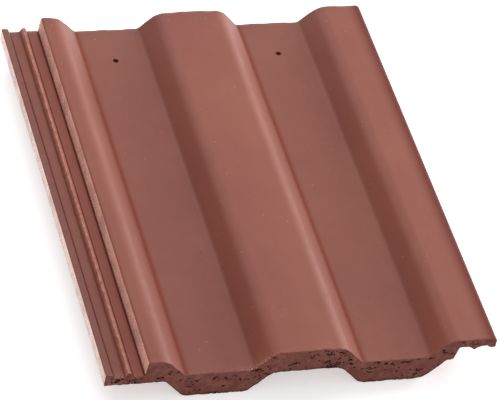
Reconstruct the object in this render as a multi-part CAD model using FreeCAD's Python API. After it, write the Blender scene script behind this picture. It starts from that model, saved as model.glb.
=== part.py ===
"""Interlocking concrete roof tile with two flat pans and a flat-topped roll, one extruded and cut piece.

The tile is described in its own section: x runs from the free edge of the side underlap to the free edge
of the side overlap, y from the foot to the head, and z is height above the floor of the pans. The finished
solid is then placed with its origin on the floor it rests on, at the middle of its outline. Millimetres.
"""

import FreeCAD
import Part

import math
import os

# Overall sizes. The cover is what one tile adds to a row: two pans, two rolls.
LENGTH = 420.0
PAN_PITCH = 150.0
PANS = 2

# Roll: straight flanks up from the pan, then a flat top with a slight crown.
ROLL_HEIGHT = 17.2
ROLL_CROWN = 1.2
ROLL_TOP_WIDTH = 59.4
ROLL_BASE_WIDTH = 92.0
ROLL_SHOULDER_RADIUS = 16.0
PAN_CORNER_RADIUS = 5.0

# Body, the plain stretch between foot and head.
BODY_THICKNESS = 12.5
UNDERSIDE_RADIUS = 4.0

# Side underlap: a water channel with an outer rib and a middle rib, beside the cut face of the first roll.
UNDERLAP_FLOOR = 2.3
UNDERLAP_THICKNESS = 9.0
OUTER_RIB_WIDTH = 5.5
OUTER_RIB_HEIGHT = 3.7
MIDDLE_RIB_CENTRE = 19.7
MIDDLE_RIB_TOP_WIDTH = 2.6
MIDDLE_RIB_HEIGHT = 4.2
RIB_FLANK = 2.2
RIB_RADIUS = 0.8
WALL_FOOT = 33.0
WALL_DRAFT = 1.2
WALL_SHOULDER_RADIUS = 2.2
FIRST_ROLL_CENTRE = 20.0

# Side overlap: it closes over the next tile's underlap.
SIDE_GAP = 3.0
CHANNEL_HEADROOM = 2.0
CHANNEL_SIDE_CLEARANCE = 1.5
CHANNEL_DRAFT = 3.0
TOOTH_CLEARANCE = 2.1
TOOTH_FLANK = 5.5
TOOTH_TIP_RADIUS = 0.8
DRIP_EDGE_CLEARANCE = 4.0
DRIP_EDGE_WIDTH = 5.0
DRIP_EDGE_FLANK = 2.6
DRIP_EDGE_RADIUS = 2.0
OVERLAP_EDGE_RADIUS = 4.0

# Foot: its underside is the top of the tile below, this far down, so the foot beds on that tile.
FOOT_DEPTH = 25.0
FOOT_SIDE_CLEARANCE = 2.0
FOOT_ROLL_CLEARANCE = 1.4
FOOT_CORNER_RADIUS = 12.0
FOOT_LENGTH = 16.0

# Hanging nibs under the head, one in the middle of each pan. They reach as low as the foot.
NIB_WIDTH = 36.0
NIB_THICKNESS = 12.0
NIB_ROOT_THICKNESS = 16.0
NIB_FROM_HEAD = 24.0
NIB_SIDE_DRAFT = 4.0

# Nail holes, one in the middle of each pan.
NAIL_HOLE_DIAMETER = 5.0
NAIL_HOLE_FROM_HEAD = 42.0

# Worked out from the sizes above.
COVER_WIDTH = PANS * PAN_PITCH
OVERALL_WIDTH = COVER_WIDTH + WALL_FOOT - SIDE_GAP
ROLL_CENTRES = [FIRST_ROLL_CENTRE + PAN_PITCH * i for i in range(PANS + 1)]
PAN_CENTRES = [FIRST_ROLL_CENTRE + PAN_PITCH * (i + 0.5) for i in range(PANS)]
FLANK_RUN = (ROLL_BASE_WIDTH - ROLL_TOP_WIDTH) / 2
FLANK_ANGLE = math.atan2(ROLL_HEIGHT, FLANK_RUN)
FLANK_SHIFT = BODY_THICKNESS * math.tan(FLANK_ANGLE / 2)
UNDERLAP_UNDERSIDE = UNDERLAP_FLOOR - UNDERLAP_THICKNESS
OUTER_RIB_TOP = UNDERLAP_FLOOR + OUTER_RIB_HEIGHT
MIDDLE_RIB_TOP = UNDERLAP_FLOOR + MIDDLE_RIB_HEIGHT
MIDDLE_RIB_BASE = MIDDLE_RIB_TOP_WIDTH / 2 + RIB_FLANK
CHANNEL_ROOF = MIDDLE_RIB_TOP + CHANNEL_HEADROOM
ROLL_MIDDLE = ROLL_HEIGHT + ROLL_CROWN


def line(start, end):
    return Part.LineSegment(start, end).toShape()


def corner_arc(before, corner, after, radius):
    """The arc that rounds one corner of an outline, as its start, middle and end."""
    to_before = (before - corner).normalize()
    to_after = (after - corner).normalize()
    half_angle = to_before.getAngle(to_after) / 2
    reach = radius / math.tan(half_angle)
    bisector = (to_before + to_after).normalize()
    middle = corner + bisector * (radius / math.sin(half_angle) - radius)
    return corner + to_before * reach, middle, corner + to_after * reach


def outline_face(corners):
    """A flat face in the plane y = 0 from corners (x, z, radius), with each corner rounded to its radius."""
    points = [FreeCAD.Vector(x, 0, z) for x, z, _ in corners]
    radii = [radius for _, _, radius in corners]
    stops = []
    for i, (point, radius) in enumerate(zip(points, radii)):
        if radius:
            stops.append(corner_arc(points[i - 1], point, points[(i + 1) % len(points)], radius))
        else:
            stops.append((point, None, point))
    edges = []
    for i, (start, middle, end) in enumerate(stops):
        if middle:
            edges.append(Part.Arc(start, middle, end).toShape())
        edges.append(line(end, stops[(i + 1) % len(stops)][0]))
    return Part.Face(Part.Wire(edges))


def crown_radius():
    """Radius of the crown's arc, which takes nearly all that the shoulders leave of the roll's top."""
    half_turn = math.atan2(ROLL_CROWN, ROLL_TOP_WIDTH / 2)
    shoulder = ROLL_SHOULDER_RADIUS * math.tan((FLANK_ANGLE - half_turn) / 2)
    return 0.98 * (ROLL_TOP_WIDTH / 2 - shoulder) / math.tan(half_turn)


def underlap_top():
    """The water channel from its free edge to the foot of the cut roll face."""
    middle = MIDDLE_RIB_CENTRE
    half_top = MIDDLE_RIB_TOP_WIDTH / 2
    return [
        (0, OUTER_RIB_TOP, RIB_RADIUS),
        (OUTER_RIB_WIDTH, OUTER_RIB_TOP, RIB_RADIUS),
        (OUTER_RIB_WIDTH + RIB_FLANK, UNDERLAP_FLOOR, RIB_RADIUS),
        (middle - MIDDLE_RIB_BASE, UNDERLAP_FLOOR, RIB_RADIUS),
        (middle - half_top, MIDDLE_RIB_TOP, RIB_RADIUS),
        (middle + half_top, MIDDLE_RIB_TOP, RIB_RADIUS),
        (middle + MIDDLE_RIB_BASE, UNDERLAP_FLOOR, RIB_RADIUS),
        (WALL_FOOT, UNDERLAP_FLOOR, 0),
    ]


def roll_top(centre):
    """One whole roll, flank, crowned top and flank."""
    half_top = ROLL_TOP_WIDTH / 2
    half_base = ROLL_BASE_WIDTH / 2
    return [
        (centre - half_base, 0, PAN_CORNER_RADIUS),
        (centre - half_top, ROLL_HEIGHT, ROLL_SHOULDER_RADIUS),
        (centre, ROLL_MIDDLE, crown_radius()),
        (centre + half_top, ROLL_HEIGHT, ROLL_SHOULDER_RADIUS),
        (centre + half_base, 0, PAN_CORNER_RADIUS),
    ]


def top_outline():
    """The weathered face, from the free edge of the underlap to the free edge of the overlap."""
    half_top = ROLL_TOP_WIDTH / 2
    half_base = ROLL_BASE_WIDTH / 2
    first, last = ROLL_CENTRES[0], ROLL_CENTRES[-1]
    corners = underlap_top()
    corners += [
        (WALL_FOOT + WALL_DRAFT, ROLL_HEIGHT, WALL_SHOULDER_RADIUS),
        (first + half_top, ROLL_HEIGHT, ROLL_SHOULDER_RADIUS),
        (first + half_base, 0, PAN_CORNER_RADIUS),
    ]
    for centre in ROLL_CENTRES[1:-1]:
        corners += roll_top(centre)
    corners += [
        (last - half_base, 0, PAN_CORNER_RADIUS),
        (last - half_top, ROLL_HEIGHT, ROLL_SHOULDER_RADIUS),
        (OVERALL_WIDTH, ROLL_HEIGHT, OVERLAP_EDGE_RADIUS),
    ]
    return corners


def overlap_underside():
    """The overlap's channel from its free edge inwards. It takes its places from the next tile's ribs."""
    drip_bottom = UNDERLAP_FLOOR + DRIP_EDGE_CLEARANCE
    drip_inner = OVERALL_WIDTH - DRIP_EDGE_WIDTH
    tooth_bottom = UNDERLAP_FLOOR + TOOTH_CLEARANCE
    outer_rib_foot = OUTER_RIB_WIDTH + RIB_FLANK
    middle_rib_foot = MIDDLE_RIB_CENTRE - MIDDLE_RIB_BASE
    tooth = COVER_WIDTH + (outer_rib_foot + middle_rib_foot) / 2
    channel_side = COVER_WIDTH - CHANNEL_SIDE_CLEARANCE
    return [
        (OVERALL_WIDTH, drip_bottom, DRIP_EDGE_RADIUS),
        (drip_inner, drip_bottom, DRIP_EDGE_RADIUS / 2),
        (drip_inner - DRIP_EDGE_FLANK, CHANNEL_ROOF, RIB_RADIUS),
        (tooth + TOOTH_FLANK, CHANNEL_ROOF, RIB_RADIUS),
        (tooth, tooth_bottom, TOOTH_TIP_RADIUS),
        (tooth - TOOTH_FLANK, CHANNEL_ROOF, RIB_RADIUS),
        (channel_side, CHANNEL_ROOF, 2 * RIB_RADIUS),
    ]


def body_underside():
    """The plain underside, one body thickness below the weathered face, from the overlap to the underlap."""
    half_top = ROLL_TOP_WIDTH / 2
    half_base = ROLL_BASE_WIDTH / 2
    pan_under = -BODY_THICKNESS
    roll_under = ROLL_HEIGHT - BODY_THICKNESS
    last = ROLL_CENTRES[-1]
    corners = [
        (last - half_top + FLANK_SHIFT, roll_under, 0),
        (last - half_base + FLANK_SHIFT, pan_under, UNDERSIDE_RADIUS),
    ]
    for centre in reversed(ROLL_CENTRES[1:-1]):
        corners += [
            (centre + half_base - FLANK_SHIFT, pan_under, UNDERSIDE_RADIUS),
            (centre + half_top - FLANK_SHIFT, roll_under, UNDERSIDE_RADIUS),
            (centre - half_top + FLANK_SHIFT, roll_under, UNDERSIDE_RADIUS),
            (centre - half_base + FLANK_SHIFT, pan_under, UNDERSIDE_RADIUS),
        ]
    first_pan = ROLL_CENTRES[0] + half_base - FLANK_SHIFT
    rise = UNDERLAP_UNDERSIDE - pan_under
    corners += [
        (first_pan, pan_under, UNDERSIDE_RADIUS),
        (first_pan - rise / math.tan(FLANK_ANGLE), UNDERLAP_UNDERSIDE, UNDERSIDE_RADIUS),
        (0, UNDERLAP_UNDERSIDE, RIB_RADIUS),
    ]
    return corners


def foot_underside():
    """The foot's underside, which follows the top of the tile below, from the overlap to the underlap."""
    half_base = ROLL_BASE_WIDTH / 2
    roll_under = ROLL_MIDDLE - FOOT_DEPTH + FOOT_ROLL_CLEARANCE
    flank = (roll_under + FOOT_DEPTH) / math.tan(FLANK_ANGLE)
    channel_foot = COVER_WIDTH - CHANNEL_SIDE_CLEARANCE - CHANNEL_DRAFT
    pan_reach = half_base + FOOT_SIDE_CLEARANCE
    last = ROLL_CENTRES[-1]
    corners = [
        (channel_foot, roll_under, 2 * RIB_RADIUS),
        (last - pan_reach + flank, roll_under, 0),
        (last - pan_reach, -FOOT_DEPTH, FOOT_CORNER_RADIUS),
    ]
    for centre in reversed(ROLL_CENTRES[1:-1]):
        corners += [
            (centre + pan_reach, -FOOT_DEPTH, FOOT_CORNER_RADIUS),
            (centre + pan_reach - flank, roll_under, FOOT_CORNER_RADIUS),
            (centre - pan_reach + flank, roll_under, FOOT_CORNER_RADIUS),
            (centre - pan_reach, -FOOT_DEPTH, FOOT_CORNER_RADIUS),
        ]
    first_pan = ROLL_CENTRES[0] + pan_reach
    rise = UNDERLAP_UNDERSIDE + FOOT_DEPTH
    corners += [
        (first_pan, -FOOT_DEPTH, FOOT_CORNER_RADIUS),
        (first_pan - rise / math.tan(FLANK_ANGLE), UNDERLAP_UNDERSIDE, UNDERSIDE_RADIUS),
        (0, UNDERLAP_UNDERSIDE, RIB_RADIUS),
    ]
    return corners


def extruded(underside, start, length):
    """A stretch of tile between the weathered face and an underside."""
    face = outline_face(top_outline() + overlap_underside() + underside)
    stretch = face.extrude(FreeCAD.Vector(0, length, 0))
    stretch.translate(FreeCAD.Vector(0, start, 0))
    return stretch


def nib(centre):
    """One hanging nib: upright towards the batten, sloped towards the head, with drafted sides."""
    batten_side = LENGTH - NIB_FROM_HEAD
    half_root = NIB_WIDTH / 2
    half_tip = half_root - NIB_SIDE_DRAFT
    root = -BODY_THICKNESS
    across = Part.makePolygon(
        [
            FreeCAD.Vector(centre - half_root, batten_side, root),
            FreeCAD.Vector(centre + half_root, batten_side, root),
            FreeCAD.Vector(centre + half_tip, batten_side, -FOOT_DEPTH),
            FreeCAD.Vector(centre - half_tip, batten_side, -FOOT_DEPTH),
            FreeCAD.Vector(centre - half_root, batten_side, root),
        ]
    )
    along = Part.makePolygon(
        [
            FreeCAD.Vector(centre - half_root, batten_side, root),
            FreeCAD.Vector(centre - half_root, batten_side + NIB_ROOT_THICKNESS, root),
            FreeCAD.Vector(centre - half_root, batten_side + NIB_THICKNESS, -FOOT_DEPTH),
            FreeCAD.Vector(centre - half_root, batten_side, -FOOT_DEPTH),
            FreeCAD.Vector(centre - half_root, batten_side, root),
        ]
    )
    block = Part.Face(across).extrude(FreeCAD.Vector(0, NIB_ROOT_THICKNESS, 0))
    return block.common(Part.Face(along).extrude(FreeCAD.Vector(NIB_WIDTH, 0, 0)))


def nail_hole(centre):
    """The drill for one nail hole, through the pan from well above it to well below."""
    start = FreeCAD.Vector(centre, LENGTH - NAIL_HOLE_FROM_HEAD, -FOOT_DEPTH)
    return Part.makeCylinder(NAIL_HOLE_DIAMETER / 2, FOOT_DEPTH + ROLL_MIDDLE, start)


def roof_tile():
    """The whole tile, placed with its origin at the middle of its base."""
    tile = extruded(body_underside(), 0, LENGTH)
    foot = extruded(foot_underside(), 0, FOOT_LENGTH)
    tile = tile.fuse([foot] + [nib(centre) for centre in PAN_CENTRES])
    tile = tile.cut([nail_hole(centre) for centre in PAN_CENTRES])
    tile = tile.removeSplitter()
    tile.translate(FreeCAD.Vector(-OVERALL_WIDTH / 2, -LENGTH / 2, FOOT_DEPTH))
    return tile


os.makedirs("parts", exist_ok=True)
solid = roof_tile().Solids[0]
solid.exportStep("parts/roof_tile.step")
print(
    "roof_tile: solids", len(roof_tile().Solids), "valid", solid.isValid(),
    "volume", round(solid.Volume / 1e6, 3), "l,", len(solid.Faces), "faces, box", solid.BoundBox,
)
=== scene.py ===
"""Looks of the concrete roof tile: satin red-brown coating on top, bare porous concrete at the ends."""

import math

import bpy
import numpy as np
from mathutils import Matrix, Vector


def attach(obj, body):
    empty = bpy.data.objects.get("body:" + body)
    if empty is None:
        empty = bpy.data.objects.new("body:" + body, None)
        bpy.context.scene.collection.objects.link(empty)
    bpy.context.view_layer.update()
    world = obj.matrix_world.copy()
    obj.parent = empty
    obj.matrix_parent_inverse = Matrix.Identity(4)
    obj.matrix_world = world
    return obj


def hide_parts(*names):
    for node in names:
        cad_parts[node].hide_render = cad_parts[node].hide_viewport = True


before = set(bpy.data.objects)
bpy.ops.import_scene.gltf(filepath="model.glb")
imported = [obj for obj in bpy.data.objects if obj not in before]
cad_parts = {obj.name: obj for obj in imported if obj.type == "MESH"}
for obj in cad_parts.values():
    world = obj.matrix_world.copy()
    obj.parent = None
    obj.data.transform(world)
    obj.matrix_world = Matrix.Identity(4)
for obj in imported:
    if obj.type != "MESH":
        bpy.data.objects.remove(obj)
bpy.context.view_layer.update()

# ---------------------------------------------------------------- the tile's section, in millimetres
# x runs from the underlap's free edge, y from the foot, and z is height above the pans.
LENGTH = 420.0
PAN_PITCH = 150.0
PANS = 2
ROLL_HEIGHT = 17.2
ROLL_CROWN = 1.2
ROLL_TOP_WIDTH = 59.4
ROLL_BASE_WIDTH = 92.0
ROLL_SHOULDER_RADIUS = 16.0
PAN_CORNER_RADIUS = 5.0
BODY_THICKNESS = 12.5
UNDERSIDE_RADIUS = 4.0
UNDERLAP_FLOOR = 2.3
UNDERLAP_THICKNESS = 9.0
OUTER_RIB_WIDTH = 5.5
OUTER_RIB_HEIGHT = 3.7
MIDDLE_RIB_CENTRE = 19.7
MIDDLE_RIB_TOP_WIDTH = 2.6
MIDDLE_RIB_HEIGHT = 4.2
RIB_FLANK = 2.2
RIB_RADIUS = 0.8
WALL_FOOT = 33.0
WALL_DRAFT = 1.2
WALL_SHOULDER_RADIUS = 2.2
FIRST_ROLL_CENTRE = 20.0
SIDE_GAP = 3.0
CHANNEL_HEADROOM = 2.0
CHANNEL_SIDE_CLEARANCE = 1.5
CHANNEL_DRAFT = 3.0
TOOTH_CLEARANCE = 2.1
TOOTH_FLANK = 5.5
DRIP_EDGE_CLEARANCE = 4.0
DRIP_EDGE_WIDTH = 5.0
DRIP_EDGE_FLANK = 2.6
DRIP_EDGE_RADIUS = 2.0
OVERLAP_EDGE_RADIUS = 4.0
FOOT_DEPTH = 25.0
FOOT_SIDE_CLEARANCE = 2.0
FOOT_ROLL_CLEARANCE = 1.4
FOOT_CORNER_RADIUS = 12.0
FOOT_LENGTH = 16.0
NIB_WIDTH = 36.0
NIB_THICKNESS = 12.0
NIB_ROOT_THICKNESS = 16.0
NIB_FROM_HEAD = 24.0
NIB_SIDE_DRAFT = 4.0
NAIL_HOLE_DIAMETER = 5.0
NAIL_HOLE_FROM_HEAD = 42.0

COVER_WIDTH = PANS * PAN_PITCH
WIDTH = COVER_WIDTH + WALL_FOOT - SIDE_GAP
ROLL_CENTRES = [FIRST_ROLL_CENTRE + PAN_PITCH * i for i in range(PANS + 1)]
PAN_CENTRES = [FIRST_ROLL_CENTRE + PAN_PITCH * (i + 0.5) for i in range(PANS)]
HALF_TOP = ROLL_TOP_WIDTH / 2
HALF_BASE = ROLL_BASE_WIDTH / 2
FLANK = math.atan2(ROLL_HEIGHT, HALF_BASE - HALF_TOP)
FLANK_SHIFT = BODY_THICKNESS * math.tan(FLANK / 2)
UNDERLAP_UNDERSIDE = UNDERLAP_FLOOR - UNDERLAP_THICKNESS
OUTER_RIB_TOP = UNDERLAP_FLOOR + OUTER_RIB_HEIGHT
MIDDLE_RIB_TOP = UNDERLAP_FLOOR + MIDDLE_RIB_HEIGHT
MIDDLE_RIB_BASE = MIDDLE_RIB_TOP_WIDTH / 2 + RIB_FLANK
CHANNEL_ROOF = MIDDLE_RIB_TOP + CHANNEL_HEADROOM
ROLL_MIDDLE = ROLL_HEIGHT + ROLL_CROWN

# ---------------------------------------------------------------- the mesh and its seeded unevenness
SEED = 20
COLUMNS = 264  # strips across the tile
FINE = 3  # columns of the cut face at the foot to each strip
CAP_ROWS = 42  # rows from the lower arris to the upper one
STATION_STEP = 9.0  # mm between stations along the tile
PORE_CLUSTERS = 150
POROUS_STRETCHES = ((0, 30), (125, 290))  # mm across the tile where every cluster is kept
SPARSE_SHARE = 0.42  # of the clusters kept elsewhere
MARKS = ("cavity", "painted_groove_shade", "rim", "frayed", "crest", "low", "channel", "head", "outer", "corner")


def crown_radius():
    half_turn = math.atan2(ROLL_CROWN, HALF_TOP)
    shoulder = ROLL_SHOULDER_RADIUS * math.tan((FLANK - half_turn) / 2)
    return 0.98 * (HALF_TOP - shoulder) / math.tan(half_turn)


def top_corners():
    middle, half = MIDDLE_RIB_CENTRE, MIDDLE_RIB_TOP_WIDTH / 2
    first, last = ROLL_CENTRES[0], ROLL_CENTRES[-1]
    corners = [
        (0, OUTER_RIB_TOP, RIB_RADIUS),
        (OUTER_RIB_WIDTH, OUTER_RIB_TOP, RIB_RADIUS),
        (OUTER_RIB_WIDTH + RIB_FLANK, UNDERLAP_FLOOR, RIB_RADIUS),
        (middle - MIDDLE_RIB_BASE, UNDERLAP_FLOOR, RIB_RADIUS),
        (middle - half, MIDDLE_RIB_TOP, RIB_RADIUS),
        (middle + half, MIDDLE_RIB_TOP, RIB_RADIUS),
        (middle + MIDDLE_RIB_BASE, UNDERLAP_FLOOR, RIB_RADIUS),
        (WALL_FOOT, UNDERLAP_FLOOR, 0),
        (WALL_FOOT + WALL_DRAFT, ROLL_HEIGHT, WALL_SHOULDER_RADIUS),
        (first + HALF_TOP, ROLL_HEIGHT, ROLL_SHOULDER_RADIUS),
        (first + HALF_BASE, 0, PAN_CORNER_RADIUS),
    ]
    for centre in ROLL_CENTRES[1:-1]:
        corners += [
            (centre - HALF_BASE, 0, PAN_CORNER_RADIUS),
            (centre - HALF_TOP, ROLL_HEIGHT, ROLL_SHOULDER_RADIUS),
            (centre, ROLL_MIDDLE, crown_radius()),
            (centre + HALF_TOP, ROLL_HEIGHT, ROLL_SHOULDER_RADIUS),
            (centre + HALF_BASE, 0, PAN_CORNER_RADIUS),
        ]
    return corners + [
        (last - HALF_BASE, 0, PAN_CORNER_RADIUS),
        (last - HALF_TOP, ROLL_HEIGHT, ROLL_SHOULDER_RADIUS),
        (WIDTH, ROLL_HEIGHT, OVERLAP_EDGE_RADIUS),
    ]


def overlap_corners():
    drip_bottom = UNDERLAP_FLOOR + DRIP_EDGE_CLEARANCE
    drip_inner = WIDTH - DRIP_EDGE_WIDTH
    tooth = COVER_WIDTH + (OUTER_RIB_WIDTH + RIB_FLANK + MIDDLE_RIB_CENTRE - MIDDLE_RIB_BASE) / 2
    return [
        (WIDTH, drip_bottom, DRIP_EDGE_RADIUS),
        (drip_inner, drip_bottom, DRIP_EDGE_RADIUS / 2),
        (drip_inner - DRIP_EDGE_FLANK, CHANNEL_ROOF, RIB_RADIUS),
        (tooth + TOOTH_FLANK, CHANNEL_ROOF, RIB_RADIUS),
        (tooth, UNDERLAP_FLOOR + TOOTH_CLEARANCE, RIB_RADIUS),
        (tooth - TOOTH_FLANK, CHANNEL_ROOF, RIB_RADIUS),
        (COVER_WIDTH - CHANNEL_SIDE_CLEARANCE, CHANNEL_ROOF, 2 * RIB_RADIUS),
    ]


def body_corners():
    pan_under = -BODY_THICKNESS
    roll_under = ROLL_HEIGHT - BODY_THICKNESS
    last = ROLL_CENTRES[-1]
    inner_top, inner_base = HALF_TOP - FLANK_SHIFT, HALF_BASE - FLANK_SHIFT
    corners = [(last - inner_top, roll_under, 0), (last - inner_base, pan_under, UNDERSIDE_RADIUS)]
    for centre in reversed(ROLL_CENTRES[1:-1]):
        hollow = [(inner_base, pan_under), (inner_top, roll_under)]
        hollow += [(-x, z) for x, z in reversed(hollow)]
        corners += [(centre + x, z, UNDERSIDE_RADIUS) for x, z in hollow]
    first_pan = ROLL_CENTRES[0] + inner_base
    rise = UNDERLAP_UNDERSIDE - pan_under
    return corners + [
        (first_pan, pan_under, UNDERSIDE_RADIUS),
        (first_pan - rise / math.tan(FLANK), UNDERLAP_UNDERSIDE, UNDERSIDE_RADIUS),
        (0, UNDERLAP_UNDERSIDE, RIB_RADIUS),
    ]


def foot_corners():
    roll_under = ROLL_MIDDLE - FOOT_DEPTH + FOOT_ROLL_CLEARANCE
    run = (roll_under + FOOT_DEPTH) / math.tan(FLANK)
    reach = HALF_BASE + FOOT_SIDE_CLEARANCE
    last = ROLL_CENTRES[-1]
    corners = [
        (COVER_WIDTH - CHANNEL_SIDE_CLEARANCE - CHANNEL_DRAFT, roll_under, 2 * RIB_RADIUS),
        (last - reach + run, roll_under, 0),
        (last - reach, -FOOT_DEPTH, FOOT_CORNER_RADIUS),
    ]
    for centre in reversed(ROLL_CENTRES[1:-1]):
        passage = [(reach, -FOOT_DEPTH), (reach - run, roll_under)]
        passage += [(-x, z) for x, z in reversed(passage)]
        corners += [(centre + x, z, FOOT_CORNER_RADIUS) for x, z in passage]
    first_pan = ROLL_CENTRES[0] + reach
    rise = UNDERLAP_UNDERSIDE + FOOT_DEPTH
    return corners + [
        (first_pan, -FOOT_DEPTH, FOOT_CORNER_RADIUS),
        (first_pan - rise / math.tan(FLANK), UNDERLAP_UNDERSIDE, UNDERSIDE_RADIUS),
        (0, UNDERLAP_UNDERSIDE, RIB_RADIUS),
    ]


def rounded(corners):
    """The closed outline as points, with every corner turned along its radius."""
    points = np.array([c[:2] for c in corners], float)
    out = []
    for i, (_, _, radius) in enumerate(corners):
        here, back, ahead = points[i], points[i - 1], points[(i + 1) % len(points)]
        if not radius:
            out.append(here)
            continue
        a, b = (back - here) / np.linalg.norm(back - here), (ahead - here) / np.linalg.norm(ahead - here)
        half = math.acos(np.clip(a @ b, -1, 1)) / 2
        centre = here + (a + b) / np.linalg.norm(a + b) * radius / math.sin(half)
        start, end = here + a * radius / math.tan(half), here + b * radius / math.tan(half)
        for t in np.linspace(0, 1, 13):
            ray = (1 - t) * (start - centre) + t * (end - centre)
            out.append(centre + ray / np.linalg.norm(ray) * radius)
    return np.array(out)


def chains(under):
    """The upper and lower chain of the outline, each from x = 0 to the full width."""
    loop = rounded(top_corners() + overlap_corners() + under)
    turn = int(np.argmax(loop[:, 0] > WIDTH - 1e-6))
    while loop[turn + 1, 0] > WIDTH - 1e-6 and loop[turn + 1, 1] > ROLL_HEIGHT / 2 + 4:
        turn += 1
    upper, lower = loop[: turn + 1], loop[turn + 1 :][::-1]
    return upper, lower


# ---------------------------------------------------------------- seeded noise
def noise(u, v, seed):
    """Smooth value noise from 0 to 1 on a lattice of unit cells."""
    grid = np.random.default_rng(seed).random((256, 256))
    iu, iv = np.floor(u).astype(int), np.floor(v).astype(int)
    fu, fv = u - iu, v - iv
    fu, fv = fu * fu * (3 - 2 * fu), fv * fv * (3 - 2 * fv)
    g = lambda a, b: grid[a % 256, b % 256]
    low = g(iu, iv) * (1 - fu) + g(iu + 1, iv) * fu
    high = g(iu, iv + 1) * (1 - fu) + g(iu + 1, iv + 1) * fu
    return low * (1 - fv) + high * fv


def fractal(u, v, seed, octaves=3):
    total, weight = 0, 0
    for k in range(octaves):
        total = total + noise(u * 2**k, v * 2**k, seed + k) / 2**k
        weight += 1 / 2**k
    return total / weight


# ---------------------------------------------------------------- the tile's mesh
def columns(upper, body, foot):
    """Places across the tile, closer together on walls, ribs and curves."""
    x = np.linspace(0, WIDTH, 33001)
    z_up, z_body, z_foot = (np.interp(x, c[:, 0], c[:, 1]) for c in (upper, body, foot))
    run = np.diff(x)
    shares = ((0.55, z_up), (0.15, z_body), (0.3, z_foot))
    weight = sum(share * np.hypot(run, np.diff(z)) for share, z in shares)
    slope = np.arctan2(np.diff(z_up), run)
    bend = np.abs(np.diff(slope, prepend=slope[0]))
    bend = np.convolve(bend, np.ones(60) / 60, "same")
    weight += 2.2 * bend + 2.0 * run * (x[1:] < WALL_FOOT + 3)
    total = np.concatenate([[0], np.cumsum(weight)])
    return np.interp(np.linspace(0, total[-1], COLUMNS + 1), total, x)


def pores(x, z, rng):
    """Depth in mm of the cavities in a cut face.

    They come in ragged clusters, fewer under the first roll and the first pan.
    """
    depth = np.zeros_like(x)
    warp_x = x + 1.5 * (noise(x / 1.1 + 40, z / 0.9 + 60, SEED + 9) - 0.5)
    warp_z = z + 1.3 * (noise(x / 1.3 + 80, z / 0.8 + 20, SEED + 10) - 0.5)
    for _ in range(PORE_CLUSTERS):
        px = rng.uniform(1, WIDTH - 4)
        porous = any(start < px < end for start, end in POROUS_STRETCHES)
        if rng.random() > (1.0 if porous else SPARSE_SHARE):
            continue
        top, bottom = np.interp(px, UPPER[:, 0], UPPER[:, 1]), np.interp(px, FOOT[:, 0], FOOT[:, 1])
        pz = rng.uniform(bottom + 1.6, top - 1.6)
        for _ in range(rng.integers(1, 8)):
            big = rng.random() ** 2.2
            cx, cz = px + rng.normal(0, 3.2), pz + rng.normal(0, 1.2)
            a = rng.uniform(0.4, 0.85) * (1 + 1.5 * big)
            b = rng.uniform(0.18, 0.29) * (1 + 0.9 * big)
            tilt = rng.normal(0.1, 0.5)
            u = (warp_x - cx) * math.cos(tilt) + (warp_z - cz) * math.sin(tilt)
            v = -(warp_x - cx) * math.sin(tilt) + (warp_z - cz) * math.cos(tilt)
            r = np.sqrt((u / a) ** 2 + (v / b) ** 2)
            depth = np.maximum(depth, (0.9 + 1.4 * big) * np.clip(1.6 - 1.3 * r, 0, 1))
    return depth


UPPER, BODY = chains(body_corners())
FOOT = chains(foot_corners())[1]


class Builder:
    """Collects vertices and faces, with a material for each face and marks for each vertex."""

    def __init__(self):
        self.points, self.faces, self.kinds = [], [], []
        self.marks = {label: [] for label in MARKS}
        self.count = 0

    def grid(self, x, y, z, **marks):
        shape = np.broadcast(x, y, z).shape
        xyz = np.stack([np.broadcast_to(v, shape).ravel() for v in (x, y, z)], -1)
        self.points.append(xyz)
        for label, store in self.marks.items():
            store.append(np.broadcast_to(marks.get(label, 0.0), shape).ravel())
        ids = np.arange(self.count, self.count + len(xyz)).reshape(shape)
        self.count += len(xyz)
        return ids

    def quads(self, ids, kind, flip=False):
        q = np.stack([ids[:-1, :-1], ids[1:, :-1], ids[1:, 1:], ids[:-1, 1:]], -1).reshape(-1, 4)
        self.add(q[:, ::-1] if flip else q, kind)

    def add(self, q, kind):
        self.faces += q.tolist()
        self.kinds += [kind] * len(q)


COATED, BARE, CUT_ROLL, FREE_EDGE = 0, 1, 2, 3


def stations():
    near = [1.0, 2.2, 4.0, 6.5, 9.5, 12.5]
    step = [FOOT_LENGTH - 0.35, FOOT_LENGTH + 0.35]
    middle = list(np.arange(FOOT_LENGTH + 5, LENGTH - 12, STATION_STEP))
    end = [LENGTH - 9, LENGTH - 6, LENGTH - 3.5, LENGTH - 1.6, LENGTH - 0.6, LENGTH]
    return np.array(near + step + middle + end)


def edge_chips(x, seed):
    """How far, in mm, an arris is broken away along x."""
    rough = fractal(x / 2.2, x * 0 + 3.3, seed, 3)
    rare = noise(x / 9.0, x * 0 + 7.7, seed + 5)
    return 0.12 + 0.55 * np.clip(rough - 0.45, 0, 1) * 2 + 1.1 * np.clip(rare - 0.72, 0, 1) * 2


CREASES = [
    OUTER_RIB_WIDTH + RIB_FLANK - 0.3,
    MIDDLE_RIB_CENTRE - MIDDLE_RIB_BASE,
    MIDDLE_RIB_CENTRE + MIDDLE_RIB_BASE,
    WALL_FOOT - 0.2,
]


def crease(x):
    """From 0 to 1 in the narrow grooves at the feet of the ribs and of the cut roll face."""
    widths = np.array([0.55, 0.4, 0.5, 0.75])
    lines = np.exp(-(((np.asarray(x)[..., None] - CREASES) / widths) ** 2))
    return (lines * [0.9, 0.5, 0.75, 1.0]).sum(-1).clip(0, 1)


def flank_foot(x):
    """From 0 to 1 along the feet of the flanks that face the overlap, where shade is painted into the colour
    and the gloss is lowered.
    """
    feet = [centre + HALF_BASE + 1.2 for centre in ROLL_CENTRES[:-1]]
    return np.exp(-(((np.asarray(x)[..., None] - feet) / 2.3) ** 2)).max(-1)


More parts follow.
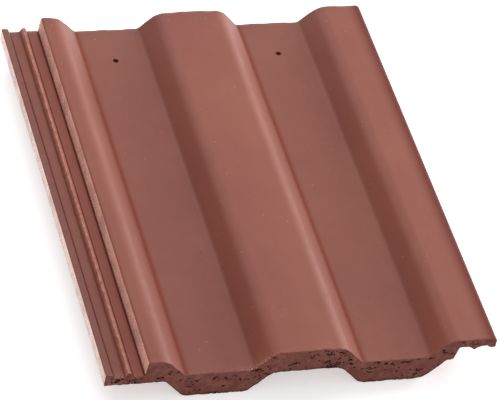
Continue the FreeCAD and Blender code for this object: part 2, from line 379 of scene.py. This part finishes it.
def crest(x):
    """From 0 to 1 on the crest of the middle rib, where a highlight is painted into the colour."""
    return np.exp(-(((np.asarray(x) - MIDDLE_RIB_CENTRE + 0.9) / 1.7) ** 2))


def rim(x):
    """From 0 to 1 over the rounded free edge of the overlap."""
    return np.clip((np.asarray(x) - WIDTH + 15) / 13, 0, 1) ** 1.5


def frayed(x, y):
    """From 0 to 1 at the upper arris of the foot, most where the first pan meets the roll."""
    most = np.exp(-(((x - 127) / 13) ** 2)) + 0.6 * np.exp(-(((x - 12) / 14) ** 2))
    return np.exp(-y / 3.0) * (0.13 + 0.87 * np.clip(most, 0, 1))


def top_surface(x, y):
    """Height of the weathered face, with the slight unevenness that extrusion and handling leave."""
    z = np.interp(x, UPPER[:, 0], UPPER[:, 1])
    wave = 0.35 * fractal(x / 38, y / 95, SEED + 1, 2) + 0.12 * fractal(x / 7, y / 30, SEED + 4, 2)
    return z - wave - 0.35 * crease(x) + 0.03


def head_wear(x, y):
    """How far, in mm, the upper arris of the head is worn back."""
    worn = 0.25 + 1.5 * np.clip(fractal(x / 9, 0 * x + 1.7, SEED + 80, 3) - 0.42, 0, 1)
    return worn * np.clip((y - LENGTH + 3.5) / 3.5, 0, 1) ** 2


def build_mesh():
    coarse = columns(UPPER, BODY, FOOT)
    split = np.linspace(0, 1, FINE + 1)[:-1]
    fine = np.append((coarse[:-1, None] * (1 - split) + coarse[1:, None] * split).ravel(), coarse[-1])
    rows = np.linspace(0, 1, CAP_ROWS + 1)
    ys = stations()
    b = Builder()

    def lower(x, y):
        foot, body = np.interp(x, FOOT[:, 0], FOOT[:, 1]), np.interp(x, BODY[:, 0], BODY[:, 1])
        return np.where(y < FOOT_LENGTH, foot, body)

    # Cut face at the foot, from the lower arris to the upper one.
    fx, ft = fine[:, None], rows[None, :]
    upper_chip, lower_chip = edge_chips(fine, SEED + 20), edge_chips(fine, SEED + 30)
    z_up = top_surface(fine, 0 * fine) - 0.7 * upper_chip * (fine > 1) * (fine < WIDTH - 1)
    ragged = np.where(fine < FIRST_ROLL_CENTRE + HALF_TOP, 1.7, 1.15)
    z_low = lower(fine, 0 * fine) + ragged * lower_chip * (fine > 1) * (fine < WIDTH - 1)
    fz = z_low[:, None] * (1 - ft) + z_up[:, None] * ft
    fx = np.broadcast_to(fx, fz.shape)
    rng = np.random.default_rng(SEED)
    cavity = pores(fx, fz, rng)
    inside = np.clip(np.minimum(ft, 1 - ft) * 22, 0, 1)
    grain = 0.35 * fractal(fx / 0.9, fz / 0.9, SEED + 40, 2) + 0.5 * fractal(fx / 6, fz / 6, SEED + 50, 2)
    round_over = 0.5 * upper_chip[:, None] * np.clip(1 - (1 - ft) * 24, 0, 1)
    round_over = round_over + 0.6 * lower_chip[:, None] * np.clip(1 - ft * 24, 0, 1)
    cavity = cavity * inside
    fy = 0.02 + grain * (0.35 + 0.65 * inside) + cavity + round_over
    at_top, low = frayed(fx, 0) * (ft > 0.97), np.clip(1 - ft * 9, 0, 1)
    face = b.grid(fx, fy, fz, cavity=cavity, rim=rim(fx), frayed=at_top, low=low)
    b.quads(face, BARE)

    # Weathered face and underside, station by station along the tile.
    cx, cy = coarse[:, None], ys[None, :]
    wear = head_wear(cx, cy)
    marks = {
        "painted_groove_shade": crease(cx),
        "rim": rim(cx),
        "frayed": frayed(cx, cy),
        "crest": crest(cx),
        "corner": flank_foot(cx),
        "channel": (cx > MIDDLE_RIB_CENTRE) & (cx < WALL_FOOT),
        "head": np.clip((cy - LENGTH + 12) / 6, 0, 1),
        "outer": cx < OUTER_RIB_WIDTH + 1,
    }
    top = b.grid(cx, cy - wear, top_surface(cx, cy) - 0.7 * wear, **marks)
    under = b.grid(cx, cy, lower(cx, cy))
    b.quads(top, COATED)
    on_wall = (coarse[:-1] > WALL_FOOT - 0.05) & (coarse[1:] < WALL_FOOT + WALL_DRAFT + 0.3)
    stretch = len(ys) - 1
    first = len(b.kinds) - stretch * (len(coarse) - 1)
    for i in np.flatnonzero(on_wall):
        b.kinds[first + i * stretch : first + (i + 1) * stretch] = [CUT_ROLL] * stretch
    b.quads(under, BARE, flip=True)

    # The rows of the cut face open out of every third column along both arrises.
    def zip_up(fine_ids, coarse_ids, kind, flip):
        for i in range(len(coarse_ids) - 1):
            f = fine_ids[i * FINE : i * FINE + FINE + 1]
            c0, c1 = coarse_ids[i], coarse_ids[i + 1]
            tris = [(f[0], f[1], c0), (f[1], f[2], c0), (f[2], c1, c0), (f[2], f[3], c1)]
            for t in tris:
                b.faces.append([int(v) for v in (t[::-1] if flip else t)])
                b.kinds.append(kind)

    zip_up(face[:, -1], top[:, 0], COATED, False)
    zip_up(face[:, 0], under[:, 0], BARE, True)

    # Free edges of the underlap and of the overlap.
    def side(end, flip):
        z0, z1 = under[end], top[end]
        pts = np.concatenate(b.points)
        low, high = pts[z0], pts[z1]
        inner = rows[1:-1][:, None]
        z = low[:, 2] * (1 - inner) + high[:, 2] * inner
        fade = np.clip(np.minimum(inner, 1 - inner) * 6, 0, 1)
        rough = 0.45 * fractal(z / 2.5 + 5, ys[None, :] / 5, SEED + 60, 3) * fade
        x = low[:, 0] * (1 - inner) + high[:, 0] * inner + (rough if end == 0 else -rough)
        mid = b.grid(x, ys[None, :], z)
        wall = np.vstack([z0, mid, z1])
        b.quads(np.column_stack([face[end], wall]), FREE_EDGE if end == 0 else COATED, flip)
        return mid[:, -1]

    left, right = side(0, True), side(-1, False)

    # Cut face at the head.
    pts = np.concatenate(b.points)
    inner = rows[1:-1][None, :]
    low, high = pts[under[1:-1, -1]], pts[top[1:-1, -1]]
    z = low[:, 2:3] * (1 - inner) + high[:, 2:3] * inner
    hx = np.broadcast_to(coarse[1:-1, None], z.shape)
    head = np.empty((COLUMNS + 1, CAP_ROWS + 1), int)
    head[:, 0], head[:, -1] = under[:, -1], top[:, -1]
    head[0, 1:-1], head[-1, 1:-1] = left, right
    head[1:-1, 1:-1] = b.grid(hx, LENGTH - 0.4 * fractal(hx / 1.8, z / 1.8, SEED + 70, 2), z)
    b.quads(head, BARE, flip=True)
    return b


def to_row(points):
    """From the section's millimetres to the row frame in metres."""
    return (np.asarray(points, float) - [WIDTH / 2, LENGTH / 2, -FOOT_DEPTH]) / 1000


def make_object(name, points, faces):
    mesh = bpy.data.meshes.new(name)
    mesh.from_pydata(to_row(points).tolist(), [], faces)
    mesh.update()
    obj = bpy.data.objects.new(name, mesh)
    bpy.context.scene.collection.objects.link(obj)
    return obj


def boolean(target, tool, operation):
    cut = target.modifiers.new("cut", "BOOLEAN")
    cut.operation, cut.solver, cut.object = operation, "EXACT", tool
    mesh = bpy.data.meshes.new_from_object(target.evaluated_get(bpy.context.evaluated_depsgraph_get()))
    target.modifiers.clear()
    target.data = mesh
    bpy.data.objects.remove(tool)


def nail_drill(centre, sides=32):
    turn = np.linspace(0, 2 * math.pi, sides, endpoint=False)
    radius, y = NAIL_HOLE_DIAMETER / 2, LENGTH - NAIL_HOLE_FROM_HEAD
    ring = np.stack([centre + radius * np.cos(turn), y + radius * np.sin(turn), 0 * turn], -1)
    points = np.vstack([ring + [0, 0, -FOOT_DEPTH], ring + [0, 0, ROLL_HEIGHT]])
    walls = [[i, (i + 1) % sides, sides + (i + 1) % sides, sides + i] for i in range(sides)]
    return make_object("drill", points, walls + [list(range(sides))[::-1], list(range(sides, 2 * sides))])


def nib(centre):
    half, tip = NIB_WIDTH / 2, NIB_WIDTH / 2 - NIB_SIDE_DRAFT
    y, root = LENGTH - NIB_FROM_HEAD, -BODY_THICKNESS + 1.0
    back, back_tip = y + NIB_ROOT_THICKNESS, y + NIB_THICKNESS
    points = []
    for z, w, far in ((root, half, back), (-FOOT_DEPTH, tip, back_tip)):
        points += [(centre + x, yy, z) for x, yy in ((-w, y), (w, y), (w, far), (-w, far))]
    faces = [[0, 1, 2, 3], [7, 6, 5, 4], [0, 4, 5, 1], [1, 5, 6, 2], [2, 6, 7, 3], [3, 7, 4, 0]]
    return make_object("nib", points, faces)


def build_tile():
    b = build_mesh()
    points = np.concatenate(b.points)
    tile = make_object("roof_tile_look", points, b.faces)
    mesh = tile.data
    mesh.polygons.foreach_set("material_index", b.kinds)
    for label, values in b.marks.items():
        mark = mesh.attributes.new(label, "FLOAT", "POINT")
        mark.data.foreach_set("value", np.concatenate(values).astype("f"))
    for centre in PAN_CENTRES:
        boolean(tile, nail_drill(centre), "DIFFERENCE")
    for centre in PAN_CENTRES:
        boolean(tile, nib(centre), "UNION")
    tile.data.polygons.foreach_set("use_smooth", [True] * len(tile.data.polygons))
    tile.data.set_sharp_from_angle(angle=math.radians(50))
    return tile


# ---------------------------------------------------------------- materials
def srgb(r, g, b):
    """A display colour from 0 to 255 as linear light, with alpha."""
    parts = (r / 255, g / 255, b / 255)
    return tuple(v / 12.92 if v <= 0.04045 else ((v + 0.055) / 1.055) ** 2.4 for v in parts) + (1,)


class Nodes:
    """Short ways to add and join shader nodes."""

    def __init__(self, name):
        self.material = bpy.data.materials.new(name)
        self.material.use_nodes = True
        self.tree = self.material.node_tree
        self.shader = self.tree.nodes["Principled BSDF"]
        self.place = self.tree.nodes.new("ShaderNodeTexCoord").outputs["Object"]

    def join(self, source, socket):
        self.tree.links.new(source, socket)

    def scaled(self, scale):
        node = self.tree.nodes.new("ShaderNodeMapping")
        node.inputs["Scale"].default_value = scale
        self.join(self.place, node.inputs["Vector"])
        return node.outputs["Vector"]

    def noise(self, scale, detail=4, stretch=(1, 1, 1), roughness=0.55):
        node = self.tree.nodes.new("ShaderNodeTexNoise")
        node.inputs["Scale"].default_value = scale
        node.inputs["Detail"].default_value = detail
        node.inputs["Roughness"].default_value = roughness
        self.join(self.scaled(stretch), node.inputs["Vector"])
        return node.outputs["Fac"]

    def cells(self, scale, feature="F1"):
        node = self.tree.nodes.new("ShaderNodeTexVoronoi")
        node.feature = feature
        node.inputs["Scale"].default_value = scale
        self.join(self.place, node.inputs["Vector"])
        return node

    def ramp(self, source, stops):
        node = self.tree.nodes.new("ShaderNodeValToRGB")
        ramp = node.color_ramp
        ramp.elements[0].position, ramp.elements[0].color = stops[0]
        ramp.elements[1].position, ramp.elements[1].color = stops[-1]
        for position, colour in stops[1:-1]:
            ramp.elements.new(position).color = colour
        self.join(source, node.inputs["Fac"])
        return node.outputs["Color"]

    def mix(self, amount, a, b, blend="MIX"):
        node = self.tree.nodes.new("ShaderNodeMix")
        node.data_type, node.blend_type = "RGBA", blend
        for source, socket in ((amount, node.inputs[0]), (a, node.inputs[6]), (b, node.inputs[7])):
            if hasattr(source, "links"):
                self.join(source, socket)
            else:
                socket.default_value = source
        return node.outputs[2]

    def height(self):
        """From 0 at the pans to 1 at the tops of the rolls."""
        split = self.tree.nodes.new("ShaderNodeSeparateXYZ")
        self.join(self.place, split.inputs[0])
        node = self.tree.nodes.new("ShaderNodeMapRange")
        node.inputs["From Min"].default_value = (FOOT_DEPTH + 1) / 1000
        node.inputs["From Max"].default_value = (FOOT_DEPTH + ROLL_HEIGHT - 1) / 1000
        self.join(split.outputs["Z"], node.inputs["Value"])
        return node.outputs["Result"]

    def attribute(self, name):
        node = self.tree.nodes.new("ShaderNodeAttribute")
        node.attribute_name = name
        return node.outputs["Fac"]

    def share(self, name, most):
        """A vertex mark as a mixing amount, scaled so that it reaches most."""
        return self.ramp(self.attribute(name), [(0.0, grey(0)), (1.0, grey(most))])

    def bump(self, height, distance, strength=1.0, after=None):
        node = self.tree.nodes.new("ShaderNodeBump")
        node.inputs["Distance"].default_value = distance
        node.inputs["Strength"].default_value = strength
        self.join(height, node.inputs["Height"])
        if after:
            self.join(after, node.inputs["Normal"])
        return node.outputs["Normal"]


def grey(v):
    return (v, v, v, 1)


def speck_mask(m, scale, size, share):
    """White where a small round speck lies, in a share of the cells."""
    cell = m.cells(scale)
    spot = m.ramp(cell.outputs["Distance"], [(size * 0.6, grey(1)), (size, grey(0))])
    spot = m.mix(1.0, spot, m.ramp(m.noise(1500, 2), [(0.42, grey(0)), (0.55, grey(1))]), "MULTIPLY")
    chosen = m.ramp(cell.outputs["Color"], [(1 - share, grey(0)), (1 - share + 0.001, grey(1))])
    return m.mix(1.0, spot, chosen, "MULTIPLY")


def coating():
    m = Nodes("coated_concrete")
    base = m.ramp(m.noise(14, 5), [(0.3, srgb(135, 62, 45)), (0.7, srgb(143, 71, 50))])
    streak = m.ramp(m.noise(60, 4, (1, 0.12, 1)), [(0.35, grey(0.94)), (0.65, grey(1.0))])
    base = m.mix(0.6, base, streak, "MULTIPLY")
    grain = m.noise(1400, 3, (1, 1, 1), 0.7)
    base = m.mix(0.25, base, m.ramp(grain, [(0.3, grey(0.72)), (0.7, grey(1.0))]), "MULTIPLY")
    scuffs = m.ramp(m.noise(170, 5, (1, 2.2, 1), 0.75), [(0.62, grey(0)), (0.7, grey(0.22))])
    base = m.mix(scuffs, base, srgb(92, 42, 34))
    base = m.mix(speck_mask(m, 95, 0.1, 0.4), base, srgb(84, 42, 36))
    base = m.mix(speck_mask(m, 120, 0.09, 0.4), base, srgb(172, 118, 104))
    # Painted shade: the coating darkens from the roll tops down to the pans.
    height = m.ramp(m.height(), [(0.0, grey(0.9)), (1.0, grey(1.0))])
    base = m.mix(1.0, base, height, "MULTIPLY")
    # Painted light: the floor of the channel beside the cut roll face is lifted to a lighter, warmer colour
    # where the roll shades it.
    base = m.mix(m.share("channel", 0.55), base, srgb(160, 84, 64))
    at_head = m.ramp(m.attribute("head"), [(0.0, grey(1)), (1.0, grey(0.87))])
    base = m.mix(1.0, base, at_head, "MULTIPLY")
    crumbs = m.ramp(m.noise(900, 3, (1, 1, 1), 0.7), [(0.5, grey(0)), (0.58, grey(1))])
    base = m.mix(m.mix(1.0, m.attribute("frayed"), crumbs, "MULTIPLY"), base, srgb(214, 160, 145))
    # Painted shade: small dark spots for shaded pits along the frayed arris.
    pit_shade = m.ramp(m.noise(520, 3, (1, 1, 1), 0.6), [(0.34, grey(1)), (0.4, grey(0))])
    base = m.mix(m.mix(1.0, m.attribute("frayed"), pit_shade, "MULTIPLY"), base, srgb(60, 28, 24))
    # Painted highlight: pale patches along the crest of the middle rib.
    crest_painted_highlight = m.ramp(m.noise(420, 4, (1, 0.5, 1), 0.7), [(0.35, grey(0.15)), (0.6, grey(0.8))])
    base = m.mix(m.mix(1.0, m.attribute("crest"), crest_painted_highlight, "MULTIPLY"), base, srgb(206, 140, 122))
    worn = m.ramp(m.noise(380, 4, (1, 0.6, 1), 0.7), [(0.36, grey(0.0)), (0.56, grey(0.75))])
    base = m.mix(m.mix(1.0, m.attribute("outer"), worn, "MULTIPLY"), base, srgb(108, 58, 52))
    # Painted shade: dark ragged lines in the grooves at the feet of the ribs and of the cut roll face.
    ragged = m.ramp(m.noise(460, 4, (1, 0.6, 1), 0.7), [(0.34, grey(0.5)), (0.55, grey(1))])
    base = m.mix(m.mix(1.0, m.attribute("painted_groove_shade"), ragged, "MULTIPLY"), base, srgb(64, 20, 13))
    # Painted shade along the feet of the flanks that face the overlap.
    base = m.mix(m.share("corner", 0.3), base, srgb(116, 54, 43))
    # Painted shade: the colour darkens towards the rounded free edge of the overlap.
    edge = m.ramp(m.attribute("rim"), [(0.0, grey(1)), (1.0, srgb(186, 158, 166))])
    base = m.mix(1.0, base, edge, "MULTIPLY")
    m.join(base, m.shader.inputs["Base Color"])
    gloss = m.ramp(m.attribute("rim"), [(0.0, grey(0.46)), (0.8, grey(0.12))])
    gloss = m.mix(m.attribute("corner"), gloss, grey(0.05))
    m.join(m.mix(m.attribute("painted_groove_shade"), gloss, grey(0.0)), m.shader.inputs["Specular IOR Level"])
    rough = m.ramp(m.noise(90, 4), [(0.3, grey(0.53)), (0.7, grey(0.6))])
    m.join(rough, m.shader.inputs["Roughness"])
    normal = m.bump(grain, 0.00012, 0.5)
    normal = m.bump(m.noise(330, 3), 0.00015, 0.3, normal)
    m.join(normal, m.shader.inputs["Normal"])
    return m.material


def bare():
    m = Nodes("bare_concrete")
    tones = [(0.3, srgb(98, 49, 41)), (0.5, srgb(118, 65, 55)), (0.72, srgb(138, 85, 73))]
    base = m.ramp(m.noise(120, 6, (1, 1, 1), 0.7), tones)
    sand = m.ramp(m.cells(900).outputs["Color"], [(0.1, grey(0.78)), (0.9, grey(1.0))])
    base = m.mix(0.7, base, sand, "MULTIPLY")
    # Painted shade inside the pores of the cut face, darker the deeper they go.
    pore_shade = m.ramp(m.attribute("cavity"), [(0.05, grey(0)), (0.6, grey(1))])
    base = m.mix(pore_shade, base, srgb(44, 18, 17))
    # Painted shade: a dark band along the lower arris of the cut face.
    base = m.mix(m.share("low", 0.75), base, srgb(58, 32, 29))
    m.join(base, m.shader.inputs["Base Color"])
    m.shader.inputs["Roughness"].default_value = 0.85
    m.shader.inputs["Specular IOR Level"].default_value = 0.3
    normal = m.bump(m.noise(700, 5, (1, 1, 1), 0.75), 0.0006, 0.7)
    m.join(normal, m.shader.inputs["Normal"])
    return m.material


def trimmed(name, dark, middle, light, foot):
    """A trimmed side, sandy and paler than the coated face, and paler still from light off the pale floor
    painted into its colour.

    foot is how dark the painted shade is where it meets the channel, from 0 to 1.
    """
    m = Nodes(name)
    base = m.ramp(m.noise(900, 4, (1, 1, 1), 0.75), [(0.3, dark), (0.5, middle), (0.66, light)])
    # Painted shade at the foot of the side, where it meets the channel.
    base = m.mix(1.0, base, m.ramp(m.height(), [(0.13, grey(foot)), (0.21, grey(1))]), "MULTIPLY")
    patches = m.ramp(m.noise(55, 5, (1, 1, 1), 0.65), [(0.38, grey(0.74)), (0.56, grey(1))])
    base = m.mix(1.0, base, patches, "MULTIPLY")
    m.join(base, m.shader.inputs["Base Color"])
    m.shader.inputs["Roughness"].default_value = 0.8
    m.join(m.bump(m.noise(600, 5, (1, 1, 1), 0.75), 0.0006, 0.7), m.shader.inputs["Normal"])
    return m.material


# ---------------------------------------------------------------- camera, light and floor
AZIMUTH, ELEVATION, ROLL = -22.88, 42.074, 12.54  # degrees
DISTANCE = 2.8251  # metres
LENS, SENSOR = 239.33, 36  # mm
SHIFT = (0.02214, -0.02472)
FLOOR_REACH = 6  # metres each way
FLOOR_GAP = 0.0003  # metres below the tile, so that the two faces don't meet
# Each soft light: place and size in metres, power in watts.
LIGHTS = {
    "key": ((1.7, 1.0, 1.9), (1.2, 1.2), 23),
    "back": ((-0.4, 2.2, 1.9), (2.2, 1.2), 31),
    "panel": ((1.45, 1.85, 0.24), (2.6, 0.46), 17),
    "side": ((3.2, 1.2, 0.9), (1.5, 1.0), 55),
}
TARGET = Vector((0, 0, FOOT_DEPTH / 1000))


def add_camera():
    a, e, r = (math.radians(v) for v in (AZIMUTH, ELEVATION, ROLL))
    back = Vector((math.sin(a) * math.cos(e), -math.cos(a) * math.cos(e), math.sin(e)))
    right = (-back).cross(Vector((0, 0, 1))).normalized()
    up = right.cross(-back)
    right, up = math.cos(r) * right + math.sin(r) * up, math.cos(r) * up - math.sin(r) * right
    data = bpy.data.cameras.new("camera")
    data.lens, data.sensor_width = LENS, SENSOR
    data.shift_x, data.shift_y = SHIFT
    data.clip_end = 50
    camera = bpy.data.objects.new("camera", data)
    turned = Matrix((right, up, back)).transposed().to_4x4()
    camera.matrix_world = Matrix.Translation(TARGET + back * DISTANCE) @ turned
    bpy.context.scene.collection.objects.link(camera)
    bpy.context.scene.camera = camera


def add_area(name, place, size, power):
    data = bpy.data.lights.new(name, "AREA")
    data.shape, data.size, data.size_y = "RECTANGLE", *size
    data.energy = power
    lamp = bpy.data.objects.new(name, data)
    lamp.location = place
    lamp.rotation_euler = (TARGET - Vector(place)).to_track_quat("-Z", "Y").to_euler()
    bpy.context.scene.collection.objects.link(lamp)


def add_stage():
    mesh = bpy.data.meshes.new("floor")
    corners = [(x * FLOOR_REACH, y * FLOOR_REACH, 0) for x, y in ((-1, -1), (1, -1), (1, 1), (-1, 1))]
    mesh.from_pydata(corners, [], [[0, 1, 2, 3]])
    floor = bpy.data.objects.new("floor", mesh)
    floor.location.z = -FLOOR_GAP
    bpy.context.scene.collection.objects.link(floor)
    m = Nodes("pale_floor")
    m.shader.inputs["Base Color"].default_value = (0.86, 0.86, 0.86, 1)
    m.shader.inputs["Roughness"].default_value = 0.9
    m.shader.inputs["Specular IOR Level"].default_value = 0.1
    m.shader.inputs["Emission Color"].default_value = (1, 1, 1, 1)
    m.shader.inputs["Emission Strength"].default_value = 0.5
    mesh.materials.append(m.material)

    world = bpy.data.worlds.new("studio")
    bpy.context.scene.world = world
    world.use_nodes = True
    world.node_tree.nodes["Background"].inputs["Color"].default_value = (1, 1, 1, 1)
    world.node_tree.nodes["Background"].inputs["Strength"].default_value = 0.58


tile = build_tile()
# Pale colours of the trimmed sides: partly the real paler cut concrete, partly painted light from the pale
# floor.
roll_cut_with_painted_light = (srgb(146, 80, 64), srgb(240, 172, 152), srgb(255, 220, 206))
underlap_edge_with_painted_light = (srgb(196, 150, 138), srgb(240, 208, 198), srgb(255, 244, 240))
for looks in (
    coating(),
    bare(),
    trimmed("roll_cut_face", *roll_cut_with_painted_light, foot=0.3),
    trimmed("underlap_edge_with_painted_light", *underlap_edge_with_painted_light, foot=1.0),
):
    tile.data.materials.append(looks)
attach(tile, "root")
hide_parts("roof_tile")

add_stage()
for light, (place, size, power) in LIGHTS.items():
    add_area(light, place, size, power)
add_camera()
bpy.context.scene.view_settings.view_transform = "Standard"
